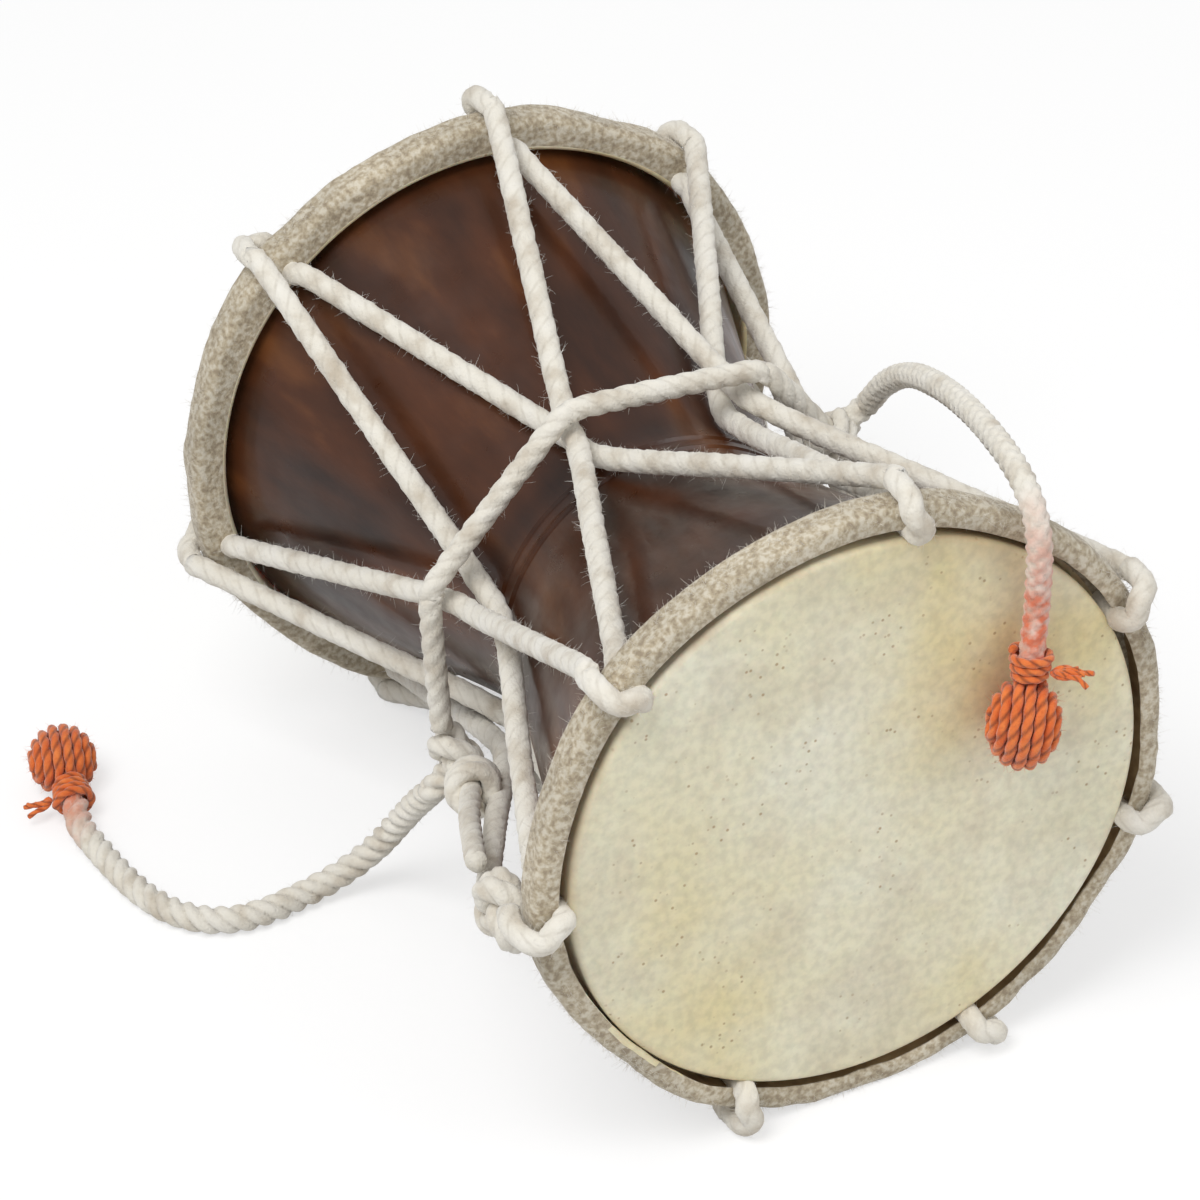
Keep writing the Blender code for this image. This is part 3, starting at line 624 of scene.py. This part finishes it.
def makeHead(side, sign):
    piece = spun(side + "Head", [(r, sign * y) for r, y in headProfile()], 216)
    loops, dips, skinR, form = lacing[side], lacing[side + "Dips"], drum["skinR"], hideForm
    mesh = piece.data
    edges = mesh.attributes.new("edge", "FLOAT", "POINT")
    for vertex in mesh.vertices:
        x, y, z = vertex.co - centre
        radius, angle = math.hypot(x, z), math.degrees(math.atan2(z, x))
        rough = noise.noise(Vector((x, y, z)) * form["fine"])
        slow = noise.noise(Vector((x, y, z)) * form["wide"] + Vector((5, 0, 0)))
        share = upTo((radius - skinR - form["lapFrom"]) / form["lapOver"])
        if share > 0:
            out = form["fineOut"] * rough + form["wideOut"] * slow
            grown = radius - share * dipAt(angle, loops, dips) + share * out
            x, z = x * grown / radius, z * grown / radius
            y += sign * share * (form["fineAlong"] * rough + form["wideAlong"] * slow)
        elif abs(y) > drum["headY"] - 0.0001:
            crease = math.exp(-((radius / skinR - form["creaseAt"]) / form["creaseWidth"]) ** 2)
            y += sign * (-form["creaseDepth"] * crease + form["skinWave"] * slow)
        z = max(z, floorZ - centre.z)
        vertex.co = centre + Vector((x, y, z))
        rim = upTo((radius - form["edgeFrom"]) / form["edgeOver"]) * (0.15 + 0.7 * max(slow + 0.1, 0))
        near = max(1 - abs(angle - form["stainAngle"]) / form["stainHalf"], 0)
        top = near * upTo((radius - form["stainFrom"]) / form["stainOver"]) * form["stain"]
        edges.data[vertex.index].value = min(rim + top, form["darkest"]) if radius < skinR else 0.0
    mesh.materials.append(skinHide)
    mesh.materials.append(lapHide)
    for face in mesh.polygons:
        spot = face.center - centre
        onLap = math.hypot(spot.x, spot.z) > skinR + form["lapMaterialFrom"]
        face.material_index = 1 if onLap else 0
    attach(piece, "drum")
    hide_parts(side + "_head_skin")


lapFibres = {"count": 5600, "from": -70, "to": 95, "inset": 0.0028, "radius": 0.0027, "along": 0.0042,
             "shortest": 0.0007, "longest": 0.0022, "thickness": 0.000045}


def lapFuzz(side, sign):
    draw, look = random.Random(5 + sign), lapFibres
    verts, faces = [], []
    for _ in range(look["count"]):
        angle, section = draw.uniform(0, 360), draw.uniform(look["from"], look["to"])
        dip = dipAt(angle, lacing[side], lacing[side + "Dips"])
        turn = math.radians(section)
        r = drum["hoopR"] - dip - look["inset"] + look["radius"] * math.cos(turn)
        y = drum["hoopY"] + look["along"] * math.sin(turn)
        spot = ringPoint(r, angle, sign * y)
        out = (ringPoint(r + math.cos(turn), angle, sign * (y + math.sin(turn))) - spot).normalized()
        bend = Vector([draw.uniform(-1, 1) for _ in range(3)])
        way = (out * 0.55 + Vector([draw.uniform(-1, 1) for _ in range(3)])).normalized()
        size = draw.uniform(look["shortest"], look["longest"])
        addFibre(verts, faces, spot, way, bend * 1.4, size, look["thickness"])
    settle(fibreObject(side + "HideFibres", verts, faces), "drum", "hide", [hideFibre])


makeShell()
for side, sign in (("near", -1), ("far", 1)):
    makeHead(side, sign)
    lapFuzz(side, sign)
    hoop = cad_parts[side + "_hoop"]
    hoop.data.materials.clear()
    hoop.data.materials.append(cane)
print("shell and heads made")

# lacing: one rope round all fourteen loops

def loopAngle(loops, i):
    turns, index = divmod(i, len(loops))
    return loops[index] + 360 * turns


def crossing(i):
    near, nearNext = lacing["near"][i], loopAngle(lacing["near"], i + 1)
    far, farNext = lacing["far"][i], loopAngle(lacing["far"], i + 1)
    rising, falling = farNext - near, nearNext - far
    share = (nearNext - near) / (rising + falling)
    return near + rising * share, lacing["pull"] * (2 * share - 1) * drum["hoopY"]


def crossingReach(i):
    y = crossing(i)[1]
    return min(y, 0) - lacing["crossHalf"], max(y, 0) + lacing["crossHalf"]


def crossingRadii(i):
    low, high = crossingReach(i)
    rope, fit = lacing["rope"], drum["fit"]
    inner = max(lacing["inner"], outerRadius(max(high, -low)) + rope + lacing["shellGap"])
    outer = inner + 2 * rope + fit
    return inner, outer, outer + 2 * rope + fit


def hoopLoop(sign, angle):
    hole, under = angle - lacing["slant"] / 2, angle - lacing["slant"]
    run = ((0.0776, angle, 0.0866), (0.0790, angle, 0.0903), (0.0790, angle, 0.0946), (0.0783, angle, 0.0979),
           (0.0756, angle, 0.0999), (0.0726, hole, 0.1001), (0.0706, hole, 0.0991), (0.0700, hole, 0.0970),
           (0.0700, hole, 0.0875), (0.0699, (hole + under) / 2, 0.0845), (0.0680, under, 0.0790))
    return [ringPoint(r, turned, sign * y) for r, turned, y in run]


def strand(start, end, i, over, towards):
    angle, y = crossing(i)
    radius = crossingRadii(i)[1 if over else 0]
    stops = crossingReach(i) if towards > 0 else crossingReach(i)[::-1]
    swing = (ringAngle(end) - ringAngle(start) + 180) % 360 - 180
    fromY, reach = start.y - centre.y, end.y - start.y
    points = []
    for stop in stops:
        turned = ringAngle(start) + swing * (stop - fromY) / reach
        middle = ringAngle(start) + swing * (y - fromY) / reach
        points.append(ringPoint(radius, turned + (angle - middle + 180) % 360 - 180, stop))
    return [start.lerp(points[0], 0.5), points[0], points[1], points[1].lerp(end, 0.5)]


def lacingRoute():
    count, run = 7, []
    for step in range(2 * count):
        i, isFar = (2 - step) % count, step % 2 == 1
        sign = 1 if isFar else -1
        here = hoopLoop(sign, lacing["far" if isFar else "near"][i])
        run += here
        j = (i - 1) % count
        end = hoopLoop(-sign, lacing["near" if isFar else "far"][j])[0]
        if step == 2 * count - 1:
            end = ringPoint(lacingKnot[0] - lacing["lastIn"], lacingKnot[1] + lacing["lastTurn"],
                            lacingKnot[2] + lacing["lastAlong"])
        run += strand(here[-1], end, j, isFar == (j != 0), -sign)
        if step == 2 * count - 1:
            run.append(end)
    return run


def beltRoute():
    knotR, knotAngle, knotY = beltLook["knot"]
    endR, gap, bend, clear = knotR - beltLook["endIn"], beltLook["gap"], beltLook["bend"], beltLook["clear"]
    corners = sorted(((crossing(i)[0] - knotAngle) % 360, crossingRadii(i)[2]) for i in range(7))
    points = [ringPoint(endR, knotAngle + gap, knotY)]
    for turned, radius in corners:
        if gap + clear < turned < 360 - gap - clear:
            points += [ringPoint(radius, knotAngle + turned + step, 0) for step in (-bend, 0, bend)]
    points.append(ringPoint(endR, knotAngle - gap, knotY))
    return points


def basis(normal, along):
    z = Vector(normal).normalized()
    x = (Vector(along) - Vector(along).dot(z) * z).normalized()
    return Matrix((x, z.cross(x), z)).transposed()


def knotRoute(spot, turn, ring, swell, count=150):
    points = []
    for i in range(count):
        t = 2 * math.pi * i / count
        reach = ring + swell * math.cos(3 * t)
        flat = (reach * math.cos(2 * t), reach * math.sin(2 * t), swell * math.sin(3 * t))
        points.append(spot + turn @ Vector(flat))
    return points


def outwards(angle):
    return Vector((math.cos(math.radians(angle)), 0, math.sin(math.radians(angle))))


# pieces of rope on the drum, each with its thickness, its twist and how deep its grooves are

ropeLooks = {
    "lacingRope": {"radius": lacing["rope"], "sides": 20, "pitch": 0.016, "depth": 0.085, "wander": 0.10},
    "beltRope": {"radius": lacing["rope"], "sides": 24, "pitch": 0.0145, "depth": 0.19, "wander": 0.07},
    "beltKnot": {"radius": 0.0026, "sides": 22, "pitch": 0.016, "depth": 0.22, "wander": 0.06},
    "lacingKnot": {"radius": 0.0029, "sides": 22, "pitch": 0.016, "depth": 0.22, "wander": 0.06},
    "beltTail": {"radius": 0.0025, "sides": 20, "pitch": 0.016, "depth": 0.2, "wander": 0.06},
    "tailWraps": {"radius": 0.0023, "sides": 18, "pitch": 0.016, "depth": 0.2, "wander": 0.06},
}
fibreLooks = {
    "lacingFibres": {"radius": 0.00265, "perMetre": 3000, "reach": 0.0021, "thickness": 0.000038, "seed": 3},
    "beltFibres": {"radius": 0.00265, "perMetre": 2200, "reach": 0.0020, "thickness": 0.00004, "seed": 4},
    "knotFibres": {"radius": 0.0026, "perMetre": 2500, "reach": 0.0022, "thickness": 0.00004, "seed": 9},
    "leftCordFibres": {"radius": 0.0032, "perMetre": 2600, "reach": 0.0018, "thickness": 0.00004, "seed": 6},
    "YarnFibres": {"radius": 0.00125, "perMetre": 1500, "reach": 0.0016, "thickness": 0.00004, "seed": 8},
}
pathSteps = {"lacing": 0.0011, "belt": 0.0009, "tail": 0.001, "cord": 0.0006, "tuft": 0.0004}


def layRope(name, path, *nodes, closed=False):
    look = ropeLooks[name]
    piece = ropeTube(name, path, look["radius"], look["sides"], twisted(3, look["pitch"]), look["depth"],
                     look["wander"], closed=closed)
    settle(piece, "drum", "cotton_rope", [ropeCotton], *nodes)


lacingPath, lacingLength = smoothPath(lacingRoute(), pathSteps["lacing"])
layRope("lacingRope", lacingPath, "lacing_rope")
lacingFibres = fuzz("lacingFibres", lacingPath, **fibreLooks["lacingFibres"])
settle(lacingFibres, "drum", "cotton_rope", [whiteFibre])

beltPath = smoothPath(beltRoute(), pathSteps["belt"])[0]
layRope("beltRope", beltPath, "belt_rope")
beltFibres = fuzz("beltFibres", beltPath, **fibreLooks["beltFibres"])
settle(beltFibres, "drum", "cotton_rope", [whiteFibre])

beltSpot, lacingSpot = ringPoint(*beltLook["knot"]), ringPoint(*lacingKnot)
beltKnotPath = knotRoute(beltSpot, basis(outwards(beltLook["knot"][1]), (0, 1, 0)), 0.0041, 0.0024)
lacingKnotPath = knotRoute(lacingSpot, basis(outwards(lacingKnot[1]), (0, 1, 0)), 0.0046, 0.0026)
layRope("beltKnot", beltKnotPath, "belt_knot", closed=True)
layRope("lacingKnot", lacingKnotPath, "lacing_knot", closed=True)
knotFibres = fuzz("knotFibres", beltKnotPath + lacingKnotPath, **fibreLooks["knotFibres"])
settle(knotFibres, "drum", "cotton_rope", [whiteFibre])

knotR, knotAngle, knotY = beltLook["knot"]
tailStart = ringPoint(knotR - tailLook["startIn"], knotAngle - tailLook["startTurn"],
                      knotY - tailLook["startAlong"])
tailEnd = ringPoint(lacingKnot[0] + tailLook["endOut"], lacingKnot[1] - tailLook["endTurn"],
                    lacingKnot[2] + tailLook["endAlong"])
tailOut = outwards(tailLook["side"])
tailMiddle = tailStart.lerp(tailEnd, 0.5) + tailOut * tailLook["bulge"]
tailPath = smoothPath([tailStart, tailMiddle, tailEnd], pathSteps["tail"])[0]
layRope("beltTail", tailPath, "belt_tail")


def coilSpot(radius, turns, height):
    around = 2 * math.pi * turns
    return Vector((radius * math.cos(around), radius * math.sin(around), height))


# wraps of rope round the belt's tail, near the belt's knot

wrapLook = {"radius": 0.0042, "rise": 0.0042, "middle": 1.1, "turns": 2.3, "perTurn": 44, "place": 0.16}


def tailWraps():
    radius, rise, perTurn = wrapLook["radius"], wrapLook["rise"], wrapLook["perTurn"]
    turn = basis((tailEnd - tailStart).normalized(), tailOut)
    spot, path = tailStart.lerp(tailEnd, wrapLook["place"]), []
    for i in range(int(perTurn * wrapLook["turns"])):
        t = i / perTurn
        path.append(spot + turn @ coilSpot(radius, t, rise * (t - wrapLook["middle"])))
    layRope("tailWraps", path)


tailWraps()

# the hitch on the belt from which the right cord starts

hitchLook = {"angle": 29.7, "radius": 0.0047, "rise": 0.0036, "turns": 2, "perTurn": 40, "cord": 0.0019,
             "sides": 16, "pitch": 0.0022, "depth": 0.25}


def makeHitch():
    look, knots = hitchLook, beltRoute()
    for low, high in zip(knots, knots[1:]):
        turned = [(ringAngle(spot) - look["angle"] + 180) % 360 - 180 for spot in (low, high)]
        if turned[0] <= 0 <= turned[1] and turned[1] - turned[0] < 90:
            middle = low.lerp(high, -turned[0] / (turned[1] - turned[0]))
            way = (high - low).normalized()
    turn, path = basis(way, outwards(look["angle"])), []
    for i in range(look["turns"] * look["perTurn"] + 1):
        t = i / look["perTurn"]
        path.append(middle + turn @ coilSpot(look["radius"], t, look["rise"] * (t - 1)))
    groove = braided(4, look["pitch"])
    hitch = ropeTube("rightCordHitch", path, look["cord"], look["sides"], groove, look["depth"])
    settle(hitch, "drum", "cotton_cord", [ropeCotton], "right_cord_hitch")


makeHitch()
print("lacing made, rope length", round(lacingLength, 3))

# beaters: free cords, balls of yarn, neck bindings and tufts

cordLook = {"sides": 28, "wander": 0.03, "startSize": 0.35, "neckGap": 0.0008, "straight": 0.0080}
leftGroove, leftDepth = twisted(3, 0.0125), 0.42
rightGroove, rightDepth = braided(4, 0.0031), 0.30


def neckOf(side, last):
    ball = Vector(beaters[side]["ball"])
    way = (ball - Vector(last)).normalized()
    neck = ball - way * (beaters[side]["half"] + cordLook["neckGap"])
    return [tuple(neck - way * cordLook["straight"]), tuple(neck)]


def makeCord(name, route, radius, groove, depth, material):
    path, length = smoothPath([fromMiddle(*p) for p in route], pathSteps["cord"])
    piece = ropeTube(name, path, radius, cordLook["sides"], groove, depth, cordLook["wander"],
                     ends=(cordLook["startSize"], 1))
    piece.data.materials.append(material)
    return piece, path, length


# the stretch of a cord that stays on the drum, and from which the cord turns

def makeRoot(name, spots, radius, groove, depth, material):
    path = smoothPath(spots, pathSteps["cord"])[0]
    piece = ropeTube(name, path, radius, cordLook["sides"], groove, depth, cordLook["wander"])
    settle(piece, "drum", "cotton_cord", [material])


leftEnd = neckOf("left", leftRoute[-1])
leftCord, leftPath, leftLength = makeCord(
    "leftCord", list(leftRoute) + leftEnd, beaters["left"]["cord"], leftGroove, leftDepth, leftCotton)
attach(leftCord, "left_beater")
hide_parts("left_cord")
leftFibres = fuzz("leftCordFibres", leftPath, **fibreLooks["leftCordFibres"])
settle(leftFibres, "left_beater", "cotton_cord", [whiteFibre])

leftRoot = [beltSpot + outwards(200) * 0.001, fromMiddle(-0.0535, -0.0005, -0.0292), leftPath[0], leftPath[3]]
makeRoot("leftCordRoot", leftRoot, beaters["left"]["cord"], leftGroove, leftDepth, leftCotton)

rightEnd = neckOf("right", rightRoute[-1])
rightCord, rightPath, rightLength = makeCord(
    "rightCord", list(rightRoute) + rightEnd, beaters["right"]["cord"], rightGroove, rightDepth, rightCotton)
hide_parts("right_cord_rise", "right_cord_fall")
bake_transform(rightCord)

rightRoot = [ringPoint(0.0540, hitchLook["angle"], 0.0012), ringPoint(0.0585, hitchLook["angle"], 0.0004),
             rightPath[0], rightPath[3]]
makeRoot("rightCordRoot", rightRoot, beaters["right"]["cord"], rightGroove, rightDepth, rightCotton)


# the bead inside the winding, a little smaller than the winding's own path, painted dark as the shade between
# the loops

def makeBallCore(side, body, ball, turn, width, half):
    sink = yarnLook["sink"]
    bpy.ops.object.select_all(action="DESELECT")
    bpy.ops.mesh.primitive_uv_sphere_add(segments=48, ring_count=28, radius=1)
    core = bpy.context.object
    core.name = side + "BallCore"
    shape = Matrix.Diagonal((width - sink, width - sink, half - sink, 1))
    core.data.transform(Matrix.Translation(ball) @ turn.to_4x4() @ shape)
    core.data.shade_smooth()
    # painted shade: the whole core takes a deep groove value, so it is darkened like the yarn's crevices
    layer = core.data.attributes.new("groove", "FLOAT", "POINT")
    layer.data.foreach_set("value", [yarnLook["coreShade"]] * len(core.data.vertices))
    settle(core, body, "orange_yarn", [yarn], side + "_ball_core")


def makeBinding(side, body, ball, turn, neck):
    look, bind, turns, perTurn = beaters[side], yarnLook["bind"], yarnLook["bindTurns"], yarnLook["bindSteps"]
    ringR = look["cord"] + drum["fit"] + bind
    start = ball + (neck - ball).normalized() * (look["half"] - yarnLook["bindIn"])
    wraps = []
    for i in range(round(perTurn * turns) + 1):
        t = i / perTurn
        reach = ringR - yarnLook["bindNarrow"] * (1 - t / turns)  # the wraps close in towards the ball
        wraps.append(start + turn @ coilSpot(reach, t, (2 * bind + yarnLook["bindGap"]) * t))
    binding = ropeTube(side + "NeckBinding", wraps, yarnLook["bindShown"], 12, twisted(2, 0.006), 0.25, 0.06)
    settle(binding, body, "orange_yarn", [yarn], side + "_neck_binding")
    return start, ringR


# a ball of yarn, its loops run from the neck down the side that the camera sees

def makeBall(side, body):
    look = beaters[side]
    ball = fromMiddle(*look["ball"])
    neck = fromMiddle(*(leftEnd if side == "left" else rightEnd)[1])
    turn = basis(neck - ball, yarnLook["across"])
    width, half = yarnLook["halfWidth"] - yarnLook["thread"], look["half"] - yarnLook["thread"]
    makeBallCore(side, body, ball, turn, width, half)

    step, loops = (2 * yarnLook["thread"] + yarnLook["loopGap"]) / width, yarnLook["loops"]
    steps, path = yarnLook["loopSteps"], []
    for i in range(round(loops * steps) + 1):
        t = i / steps
        lean = step * (t - loops / 2)
        ring = math.cos(lean)
        path.append(ball + turn @ Vector((width * math.sin(lean), width * ring * math.sin(2 * math.pi * t),
                                          half * ring * math.cos(2 * math.pi * t))))
    winding = ropeTube(side + "BallYarn", path, yarnLook["shown"], 14, twisted(2, 0.0075), 0.25, 0.08)
    settle(winding, body, "orange_yarn", [yarn], side + "_ball_yarn")
    fibres = fuzz(side + "YarnFibres", path, **fibreLooks["YarnFibres"])
    settle(fibres, body, "orange_yarn", [orangeFibre])
    start, ringR = makeBinding(side, body, ball, turn, neck)
    return turn, start, ringR


tuftLook = {"stray": 0.0011, "clear": 0.0008, "radius": 0.00065, "height": 2.2, "out": 0.0002, "seed": 21}
tuftWays = {
    "left": ((-0.0014, -0.0004, 0.0003), (-0.0022, -0.0008, -0.0004), (-0.0018, -0.0006, -0.0008)),
    "right": ((0.0016, -0.0008, 0.0004), (0.0028, -0.0010, 0.0004), (0.0024, -0.0006, -0.0004)),
}


def makeTuft(side, body, turn, start, ringR, strands):
    bind, ways, lowest, most = yarnLook["bind"], tuftWays[side], floorZ + tuftLook["clear"], tuftLook["stray"]
    out = Vector(ways[0]).normalized() * (ringR + bind + tuftLook["out"])
    root = start + turn @ Vector((0, 0, bind * tuftLook["height"])) + turn @ out
    draw = random.Random(tuftLook["seed"])
    for k in range(strands):
        spots = [root]
        for way in ways:
            stray = Vector([draw.uniform(-most, most) for _ in range(3)])
            spots.append(spots[-1] + turn @ Vector(way) + stray)
        spots = [s if s.z > lowest else Vector((s.x, s.y, lowest)) for s in spots]
        path = smoothPath(spots, pathSteps["tuft"])[0]
        piece = ropeTube(f"{side}Tuft{k}", path, tuftLook["radius"], 10, twisted(2, 0.005), 0.25, 0.1)
        nodes = (side + "_yarn_tuft",) if k == 0 else ()
        settle(piece, body, "orange_yarn", [yarn], *nodes)


for side, body, strands in (("left", "left_beater", 4), ("right", "right_beater", 6)):
    turn, start, ringR = makeBall(side, body)
    makeTuft(side, body, turn, start, ringR, strands)
print("beaters made, cords", round(leftLength, 4), round(rightLength, 4))

# floor, light and world

stageLook = {
    "floorSize": 30, "floorShown": 0.42, "floorPlain": 0.75, "floorGlow": 0.62,
    "skyLight": 0.50, "skyShown": 1.0,
    "lamps": (("keyLight", (-0.55, -0.35, 1.25), 0.7, 11.0), ("sideLight", (0.9, -0.9, 0.8), 0.6, 3.0)),
}


def makeStage():
    bpy.ops.object.select_all(action="DESELECT")
    bpy.ops.mesh.primitive_plane_add(size=stageLook["floorSize"], location=(0, 0, floorZ - floorGap))
    floor = bpy.context.object
    floor.name = "floor"
    made = bpy.data.materials.new("paleFloor")
    made.use_nodes = True
    nodes, links = made.node_tree.nodes, made.node_tree.links
    nodes.clear()
    out, add = nodes.new("ShaderNodeOutputMaterial"), nodes.new("ShaderNodeAddShader")
    mix = nodes.new("ShaderNodeMixShader")
    path, glow = nodes.new("ShaderNodeLightPath"), nodes.new("ShaderNodeEmission")
    shown, plain = nodes.new("ShaderNodeBsdfDiffuse"), nodes.new("ShaderNodeBsdfDiffuse")
    shown.inputs["Color"].default_value = (*grey(stageLook["floorShown"]), 1)
    plain.inputs["Color"].default_value = (*grey(stageLook["floorPlain"]), 1)
    glow.inputs["Color"].default_value = (1, 1, 1, 1)
    glow.inputs["Strength"].default_value = stageLook["floorGlow"]
    links.new(shown.outputs[0], add.inputs[0])
    links.new(glow.outputs[0], add.inputs[1])
    links.new(path.outputs["Is Camera Ray"], mix.inputs[0])
    links.new(plain.outputs[0], mix.inputs[1])
    links.new(add.outputs[0], mix.inputs[2])
    links.new(mix.outputs[0], out.inputs["Surface"])
    floor.data.materials.append(made)

    world = bpy.data.worlds.new("studio")
    world.use_nodes = True
    bpy.context.scene.world = world
    background = world.node_tree.nodes["Background"]
    lightPath = world.node_tree.nodes.new("ShaderNodeLightPath")
    level = world.node_tree.nodes.new("ShaderNodeMapRange")
    level.inputs["To Min"].default_value = stageLook["skyLight"]
    level.inputs["To Max"].default_value = stageLook["skyShown"]
    world.node_tree.links.new(lightPath.outputs["Is Camera Ray"], level.inputs["Value"])
    world.node_tree.links.new(level.outputs["Result"], background.inputs["Strength"])
    background.inputs["Color"].default_value = (1, 1, 1, 1)

    for name, place, size, power in stageLook["lamps"]:
        lamp = bpy.data.lights.new(name, "AREA")
        lamp.size = size
        lamp.energy = power
        obj = bpy.data.objects.new(name, lamp)
        bpy.context.scene.collection.objects.link(obj)
        obj.location = place
        obj.rotation_euler = (centre - Vector(place)).to_track_quat("-Z", "Y").to_euler()


makeStage()
bpy.context.scene.view_settings.view_transform = "Standard"
print("stage made")
